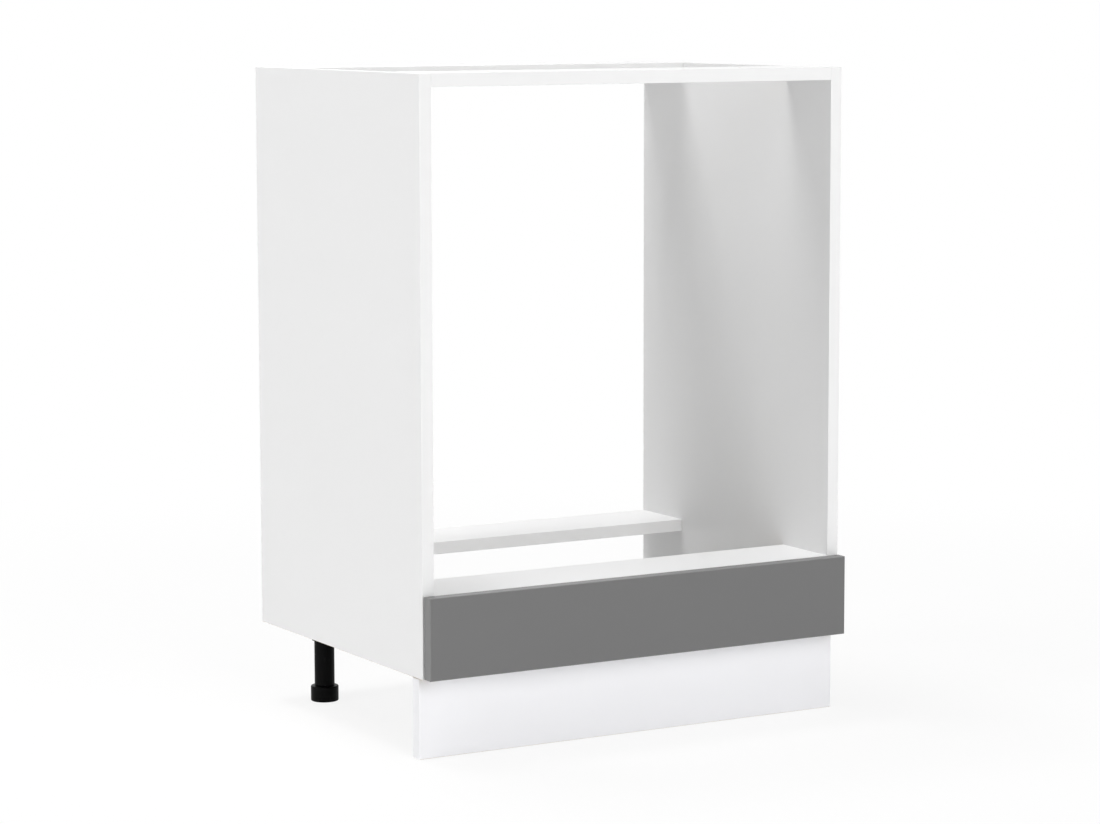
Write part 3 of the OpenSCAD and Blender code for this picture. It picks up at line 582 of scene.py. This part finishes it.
# ---------- legs ----------
# Four legs moulded in black plastic. Each has a socket screwed under the bottom panel, a tube
# that turns in it, and a foot whose coarse screw stem runs in the tube's lower end.
def moulded_plastic(name, tone, gloss):
    """Injection-moulded plastic with the even grain of a spark-eroded mould."""
    darkest = 0.9
    grain_depth = 0.000014
    plastic = Finish(name)
    grain = plastic.noise(scale=2200, detail=2, roughness=0.6)
    flow = plastic.noise(scale=40, detail=2)
    return plastic.surface({
        "Base Color": plastic.blend(flow, shaded(tone, darkest), tone),
        "Roughness": gloss + (grain - 0.5) * 0.16 + (flow - 0.5) * 0.06,
        "Specular IOR Level": 0.05,
        "Normal": plastic.bumps((grain, grain_depth)),
    })


class Recipe(Tree):
    """A Geometry Nodes tree whose named inputs are lengths, and what it makes as a mesh."""

    def __init__(self, name, lengths):
        super().__init__(bpy.data.node_groups.new(name, "GeometryNodeTree"))
        sockets = self.tree.interface
        sockets.new_socket("Geometry", in_out="INPUT", socket_type="NodeSocketGeometry")
        for length in lengths:
            sockets.new_socket(length, in_out="INPUT", socket_type="NodeSocketFloat")
        sockets.new_socket("Geometry", in_out="OUTPUT", socket_type="NodeSocketGeometry")
        entry = self.tree.nodes.new("NodeGroupInput")
        self.given = Wire(self, entry.outputs["Geometry"])
        self.size = {length: Wire(self, entry.outputs[length]) for length in lengths}

    def vector(self, x=0.0, y=0.0, z=0.0):
        """A vector of numbers or wires."""
        return self.node("ShaderNodeCombineXYZ", inputs={"X": x, "Y": y, "Z": z})

    def move(self, geometry, **steps):
        """Shapes moved along the axes."""
        return self.node("GeometryNodeTransform", inputs={
            "Geometry": geometry, "Translation": self.vector(**steps)})

    def join(self, *parts):
        """Shapes together, each still as it was."""
        joined = self.tree.nodes.new("GeometryNodeJoinGeometry")
        for part in parts:
            self.tree.links.new(part.socket, joined.inputs[0])
        return Wire(self, joined.outputs[0])

    def thread(self, core, depth, width, start, length, pitch, steps):
        """A ridge that winds up a core of that radius: a diamond swept along a helix."""
        path = self.node("GeometryNodeCurveSpiral", inputs={
            "Resolution": steps, "Rotations": length / pitch, "Start Radius": core,
            "End Radius": core, "Height": length})
        upright = self.node("GeometryNodeSetCurveNormal", {"mode": "Z_UP"}, {"Curve": path})
        ridge = self.node("GeometryNodeCurvePrimitiveQuadrilateral", {"mode": "KITE"}, {
            "Width": depth * 2, "Bottom Height": width / 2, "Top Height": width / 2})
        swept = self.node("GeometryNodeCurveToMesh", inputs={
            "Curve": upright, "Profile Curve": ridge, "Fill Caps": True})
        return self.move(swept, z=start)

    def serve(self, geometry, finish):
        """Ends the tree in real faces with their finish."""
        real = self.node("GeometryNodeRealizeInstances", inputs={"Geometry": geometry})
        finished = self.node("GeometryNodeSetMaterial", inputs={"Geometry": real, "Material": finish})
        self.node("NodeGroupOutput", inputs={"Geometry": finished})

    def make(self, name, mesh, lengths):
        """What the tree makes of a mesh, as a plain mesh object."""
        piece = bpy.data.objects.new(name, mesh)
        scene.collection.objects.link(piece)
        recipe = piece.modifiers.new(self.tree.name, "NODES")
        recipe.node_group = self.tree
        for socket in self.tree.interface.items_tree:
            if socket.in_out == "INPUT" and socket.name in lengths:
                recipe[socket.identifier] = lengths[socket.name]
        graph = bpy.context.evaluated_depsgraph_get()
        made = bpy.data.meshes.new_from_object(piece.evaluated_get(graph))
        piece.modifiers.remove(recipe)
        piece.data = made
        return piece


black = (0.0034, 0.0034, 0.0036)
black_gloss = 0.42
black_plastic = moulded_plastic("black_plastic", black, black_gloss)
foot_height = 0.020
stem_radius = 0.008
stem_core = 0.0071
stem_pitch = 0.004
stem_ridge_width = stem_pitch * 0.62
stem_steps_a_turn = 40

foot_screw = Recipe("foot_screw", ("Core", "Depth", "Width", "Start", "Length", "Pitch"))
stem = foot_screw.size
stem_thread = foot_screw.thread(stem["Core"], stem["Depth"], stem["Width"], stem["Start"],
                                stem["Length"], stem["Pitch"], stem_steps_a_turn)
foot_screw.serve(foot_screw.join(foot_screw.given, stem_thread), black_plastic)


def foot(node, name):
    """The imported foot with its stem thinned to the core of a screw, and the thread round it."""
    low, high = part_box(node)
    axis = (low + high) / 2
    mesh = flat_faced(node)
    for vertex in mesh.verts:
        out = vertex.co.xy - axis.xy
        if vertex.co.z > foot_height - near and out.length < stem_radius + 10 * near:
            vertex.co.xy = axis.xy + out * (stem_core / stem_radius)
    bmesh.ops.translate(mesh, verts=mesh.verts, vec=(-axis.x, -axis.y, 0))
    plain_foot = bpy.data.meshes.new(name)
    mesh.to_mesh(plain_foot)
    mesh.free()
    piece = foot_screw.make(name, plain_foot, {
        "Core": stem_core, "Depth": stem_radius - stem_core, "Width": stem_ridge_width,
        "Start": foot_height + stem_pitch / 2, "Length": high.z - foot_height - stem_pitch,
        "Pitch": stem_pitch})
    piece.data.transform(Matrix.Translation((axis.x, axis.y, 0)))
    stand_for(piece, node)


for corner in ("front_left", "front_right", "rear_left", "rear_right"):
    refinish(f"leg_socket_{corner}", black_plastic)
    refinish(f"leg_tube_{corner}", black_plastic)
    foot(f"leg_foot_{corner}", f"foot_{corner}")


# ---------- plinth clips ----------
# Black plastic clips that slide in base plates on the plinth's rear face and snap round the
# two front legs, so that the plinth pulls off by hand.
for side in ("left", "right"):
    refinish(f"plinth_clip_{side}", black_plastic)
    refinish(f"plinth_clip_base_{side}", black_plastic)


# ---------- runners and rollers ----------
# Roller runners of rolled steel with a white epoxy coat, which has a slight orange peel. The
# rollers are natural nylon on riveted steel axles.
def epoxy_coat(name, tone):
    """Baked powder coat on steel."""
    darkest = 0.98
    peel_depth = 0.000030
    coat = Finish(name)
    drift = coat.noise(scale=12, detail=2)
    peel = coat.noise(scale=420, detail=2)
    return coat.surface({
        "Base Color": coat.blend(drift, shaded(tone, darkest), tone),
        "Roughness": 0.30 + (peel - 0.5) * 0.10,
        "Normal": coat.bumps((peel, peel_depth)),
    })


def natural_nylon(name):
    """Milky nylon with a moulded skin, a little yellower in places."""
    yellower, milky = (0.76, 0.75, 0.70), (0.84, 0.83, 0.79)
    skin_depth = 0.000010
    nylon = Finish(name)
    drift = nylon.noise(scale=90, detail=2)
    skin = nylon.noise(scale=1800, detail=2)
    return nylon.surface({
        "Base Color": nylon.blend(drift, yellower, milky),
        "Roughness": 0.38 + (skin - 0.5) * 0.12,
        "Normal": nylon.bumps((skin, skin_depth)),
    })


epoxy_white = (0.82, 0.82, 0.82)
white_epoxy = epoxy_coat("white_epoxy", epoxy_white)
nylon = natural_nylon("natural_nylon")
for side in ("left", "right"):
    refinish(f"runner_cabinet_{side}", white_epoxy)
    refinish(f"runner_drawer_{side}", white_epoxy)
    refinish(f"roller_front_{side}", nylon)
    refinish(f"roller_rear_{side}", nylon)
refinish("cabinet_axles", plated_steel)
refinish("drawer_axles", plated_steel)


# ---------- drawer box ----------
# Sides, back and sub-front of 12 mm board wrapped in white foil, which rounds their edges,
# and a 3 mm hardboard bottom in their groove, painted white above and bare brown below.
def hardboard_back(name):
    """The bare underside of hardboard: brown fibres with the print of the press's mesh."""
    dots_per_metre = 700.0
    print_depth = 0.00010
    strand_depth = 0.00008
    fibre = Finish(name)
    strands = fibre.noise(scale=900, detail=4, roughness=0.7)
    cloud = fibre.noise(scale=60, detail=3)
    press_print = fibre.node("ShaderNodeTexVoronoi", inputs={
        "Vector": fibre.place, "Scale": dots_per_metre})
    tint = fibre.node("ShaderNodeValToRGB", {"stops": [
        (0.2, (0.13, 0.07, 0.035)), (0.8, (0.27, 0.16, 0.08))]}, {0: strands * 0.6 + cloud * 0.4})
    return fibre.surface({
        "Base Color": tint,
        "Roughness": 0.80 - strands * 0.1,
        "Normal": fibre.bumps((press_print, print_depth), (strands, strand_depth)),
    })


foil_white = (0.82, 0.82, 0.81)
foil_gloss = 0.36
foil = melamine("drawer_foil", foil_white, foil_gloss)


def wrapped_side(node, name):
    """A side of the drawer: foil round its faces and long edges, and bare sawn ends."""
    mesh = flat_faced(node)
    for face in mesh.faces:
        face.material_index = 1 if abs(face.normal.y) > square_on else 0
    stand_in(mesh, name, node, "drawer_board", foil, chipboard(f"{name}_core", node, "x"))


for hand in ("left", "right"):
    wrapped_side(f"drawer_side_{hand}", f"drawer_wrapped_side_{hand}")
refinish("drawer_subfront", foil)
refinish("drawer_back", foil)

paint_white = (0.80, 0.80, 0.79)
paint_gloss = 0.40
bottom_sheet = flat_faced("drawer_bottom")
for face in bottom_sheet.faces:
    face.material_index = 0 if face.normal.z > square_on else 1
stand_in(bottom_sheet, "drawer_bottom_sheet", "drawer_bottom", "hardboard",
         melamine("hardboard_paint", paint_white, paint_gloss), hardboard_back("hardboard_fibres"))


# ---------- screws ----------
# Zinc-plated wood screws with cross recesses: countersunk ones in the leg sockets, the clip
# bases and the corners of the drawer box, flat-headed ones in the runners and the front.
screw_sides = 20
steps_a_turn = 16
tip_radius = 0.0002
core_share = 0.68
tip_share = 1.6
ridge_share = 0.5
shank_start_share = 0.4
bar_length_share, bar_width_share = 1.15, 0.27

wood_screw = Recipe("wood_screw", (
    "Face Radius", "Neck Radius", "Head Height", "Head Lift", "Recess Depth", "Shank Radius",
    "Length", "Pitch"))
screw = wood_screw.size
core_radius = screw["Shank Radius"] * core_share
tip_length = screw["Shank Radius"] * tip_share
shank_length = screw["Length"] - tip_length
thread_length = shank_length - screw["Head Height"]


def weld(*parts):
    """Screw parts run into one solid."""
    return wood_screw.node("GeometryNodeMeshBoolean", {"operation": "UNION", "solver": "EXACT"}, {
        "Mesh 2": wood_screw.join(*parts), "Self Intersection": True})


def cross_bar(length_share, width_share):
    """One bar of the cross that is cut into the head."""
    return wood_screw.node("GeometryNodeMeshCube", inputs={"Size": wood_screw.vector(
        x=screw["Face Radius"] * length_share, y=screw["Face Radius"] * width_share,
        z=screw["Recess Depth"] * 2)})


head = wood_screw.node("GeometryNodeMeshCone", inputs={
    "Vertices": screw_sides, "Radius Top": screw["Neck Radius"], "Radius Bottom": screw["Face Radius"],
    "Depth": screw["Head Height"]})
shank = wood_screw.node("GeometryNodeMeshCylinder", inputs={
    "Vertices": screw_sides, "Radius": core_radius, "Depth": shank_length})
blank = weld(wood_screw.move(head, z=screw["Head Lift"] * -1),
             wood_screw.move(shank, z=shank_length / 2 + screw["Head Height"] * shank_start_share))
cross = weld(cross_bar(bar_length_share, bar_width_share), cross_bar(bar_width_share, bar_length_share))
recessed = wood_screw.node("GeometryNodeMeshBoolean", {"operation": "DIFFERENCE", "solver": "EXACT"}, {
    "Mesh 1": blank, "Mesh 2": wood_screw.move(cross, z=screw["Head Lift"] * -1)})
tip = wood_screw.node("GeometryNodeMeshCone", inputs={
    "Vertices": screw_sides, "Radius Top": tip_radius, "Radius Bottom": core_radius,
    "Depth": tip_length})
screw_thread = wood_screw.thread(core_radius, screw["Shank Radius"] - core_radius,
                                 screw["Pitch"] * ridge_share, screw["Head Height"], thread_length,
                                 screw["Pitch"], steps_a_turn)
screw_body = wood_screw.join(recessed, wood_screw.move(tip, z=shank_length), screw_thread)

# Each screw points the way its seat says, and stopped turning at an angle of its own
aim = wood_screw.node("GeometryNodeInputNamedAttribute", {"data_type": "FLOAT_VECTOR"}, {"Name": "aim"})
aimed = wood_screw.node("FunctionNodeAlignRotationToVector", {"axis": "Z"}, {"Vector": aim})
placed = wood_screw.node("GeometryNodeInstanceOnPoints", inputs={
    "Points": wood_screw.given, "Instance": screw_body, "Rotation": aimed})
least_angle, most_angle, angle_out = 2, 3, 1
stopped_at = wood_screw.node("FunctionNodeRandomValue", {"data_type": "FLOAT"},
                             {least_angle: 0.0, most_angle: pi / 2, "Seed": 7}, out=angle_out)
turned = wood_screw.node("GeometryNodeRotateInstances", inputs={
    "Instances": placed, "Rotation": wood_screw.vector(z=stopped_at), "Local Space": True})
wood_screw.serve(turned, plated_steel)

screw_stock = {"Recess Depth": 0.0016, "Shank Radius": 0.0019, "Pitch": 0.0018}
countersunk = {"Face Radius": 0.0036, "Neck Radius": 0.0019, "Head Height": 0.0017, "Head Lift": 0.0}
thin_flat = {"Face Radius": 0.0033, "Neck Radius": 0.0036, "Head Height": 0.0007, "Head Lift": 0.0007}
thick_flat = {"Face Radius": 0.0033, "Neck Radius": 0.0036, "Head Height": 0.002, "Head Lift": 0.002}


def screws(node, name, head_shape):
    """A threaded screw for each plain one of a packed group, in its place and direction."""
    lift = head_shape["Head Lift"]
    packed = flat_faced(node)
    seats, aims, lengths = [], [], []
    for solid in solids(packed):
        low, high = span(solid)
        middle = (low + high) / 2
        extent = high - low
        axis = max(range(3), key=lambda a: extent[a])
        beside = (axis + 1) % 3
        points = [v.co for face in solid for v in face.verts]
        end_radii = [max(abs(p[beside] - middle[beside]) for p in points if abs(p[axis] - end) < near)
                     for end in (low[axis], high[axis])]
        pointing = Vector((0, 0, 0))
        pointing[axis] = 1 if end_radii[0] > end_radii[1] else -1
        seat = middle.copy()
        seat[axis] = (low if pointing[axis] > 0 else high)[axis]
        seats.append(seat + pointing * lift)
        aims.extend(pointing)
        lengths.append(extent[axis] - lift)
    packed.free()
    seat_points = bpy.data.meshes.new(name)
    seat_points.from_pydata(seats, [], [])
    seat_points.attributes.new("aim", "FLOAT_VECTOR", "POINT").data.foreach_set("vector", aims)
    piece = wood_screw.make(name, seat_points, {**screw_stock, **head_shape, "Length": lengths[0]})
    stand_for(piece, node)


screws("socket_screws", "leg_socket_screws", countersunk)
screws("clip_screws", "clip_base_screws", countersunk)
screws("box_screws", "box_corner_screws", countersunk)
screws("runner_cabinet_screws", "cabinet_runner_screws", thin_flat)
screws("runner_drawer_screws", "drawer_runner_screws", thin_flat)
screws("front_screws", "front_fixing_screws", thick_flat)


# ---------- bumpers ----------
# Four clear soft plastic bumpers stuck on the back of the front, domed where they meet the
# edges of the sides, so that the drawer closes quietly.
def clear_bumper(name):
    """Soft clear polyurethane with a fine dusty skin."""
    dusty, clean = (0.80, 0.80, 0.80), (0.92, 0.92, 0.92)
    dust_depth = 0.000006
    gel = Finish(name)
    dust = gel.noise(scale=1500, detail=2)
    return gel.surface({
        "Base Color": gel.blend(dust, dusty, clean),
        "Roughness": 0.24 + dust * 0.14,
        "Transmission Weight": 0.6,
        "IOR": 1.48,
        "Normal": gel.bumps((dust, dust_depth)),
    })


def dome(mesh, middle, radius, height):
    """Adds a dome that stands on its -y side: a short straight rim, then a round cap."""
    around = 28
    cap_steps = 5
    rim = height * 0.35
    narrowing, rising = 0.5, 0.8
    outline = [(radius, 0), (radius, rim)]
    for step in range(1, cap_steps):
        share = step / cap_steps
        outline.append((radius * (1 - share) ** narrowing, rim + (height - rim) * share ** rising))
    rows = []
    for out, up in outline:
        start = Vector((out, up - height / 2, 0))
        rows.append([mesh.verts.new(middle + Matrix.Rotation(2 * pi * turn / around, 3, "Y") @ start)
                     for turn in range(around)])
    peak = mesh.verts.new(middle + Vector((0, height / 2, 0)))
    mesh.faces.new(rows[0])
    for turn in range(around):
        after = (turn + 1) % around
        for lower, upper in zip(rows, rows[1:]):
            mesh.faces.new((lower[turn], lower[after], upper[after], upper[turn]))
        mesh.faces.new((rows[-1][turn], rows[-1][after], peak))


packed_bumpers = flat_faced("bumpers")
domes = bmesh.new()
for solid in solids(packed_bumpers):
    low, high = span(solid)
    dome(domes, (low + high) / 2, (high.x - low.x) / 2, high.y - low.y)
packed_bumpers.free()
bmesh.ops.recalc_face_normals(domes, faces=domes.faces)
for face in domes.faces:
    face.smooth = True
stand_in(domes, "front_bumpers", "bumpers", "bumper_rubber", clear_bumper("clear_bumper"))
